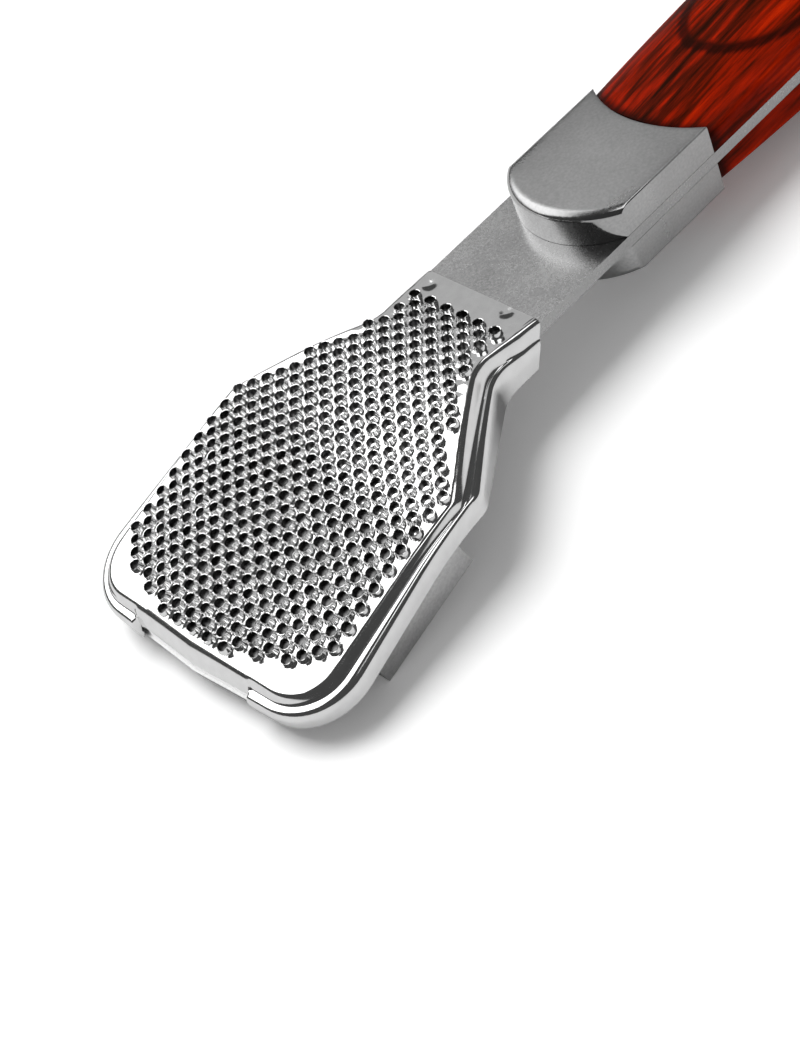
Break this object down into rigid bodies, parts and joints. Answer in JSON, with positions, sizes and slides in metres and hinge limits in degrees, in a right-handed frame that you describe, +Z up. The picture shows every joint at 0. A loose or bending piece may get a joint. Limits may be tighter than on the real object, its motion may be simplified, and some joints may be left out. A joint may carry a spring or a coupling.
{
  "type": "callus shaver",
  "caption": "Foot rasp with a wooden full tang handle, metal bolsters, a polished punched rasp cover on a paddle head and a clamped blade holder below",
  "frame": {"origin": "middle of the footprint, on the table the tool rests on", "axes": "X runs along the tool from the handle to the head, Y runs across it, Z is up with the rasp side on top"},
  "size_m": [0.1785, 0.046, 0.0177],
  "materials": {
    "tang_plate": "satin",
    "rasp_shell": "polished",
    "upper_bolster": "satin",
    "lower_bolster": "satin",
    "bolster_pins": "turned",
    "upper_scale": "satin lacquer",
    "lower_scale": "satin lacquer",
    "rivet_posts": "polished",
    "rivet_caps": "polished",
    "blade_carrier": "satin",
    "carrier_rivets": "satin",
    "blade": "ground",
    "clamp_plate": "satin",
    "clamp_studs": "turned",
    "clamp_nuts": "knurled"
  },
  "bodies": {
    "root": {"tang_plate": "tang_plate", "rasp_shell": "rasp_shell", "upper_bolster": "upper_bolster", "lower_bolster": "lower_bolster", "bolster_pins": "bolster_pins", "upper_scale": "upper_scale", "lower_scale": "lower_scale", "rivet_posts": "rivet_posts", "rivet_caps": "rivet_caps", "blade_carrier": "blade_carrier", "carrier_rivets": "carrier_rivets", "blade": "blade", "clamp_plate": "clamp_plate", "clamp_studs": "clamp_studs", "clamp_nuts": "clamp_nuts"}
  },
  "joints": []
}
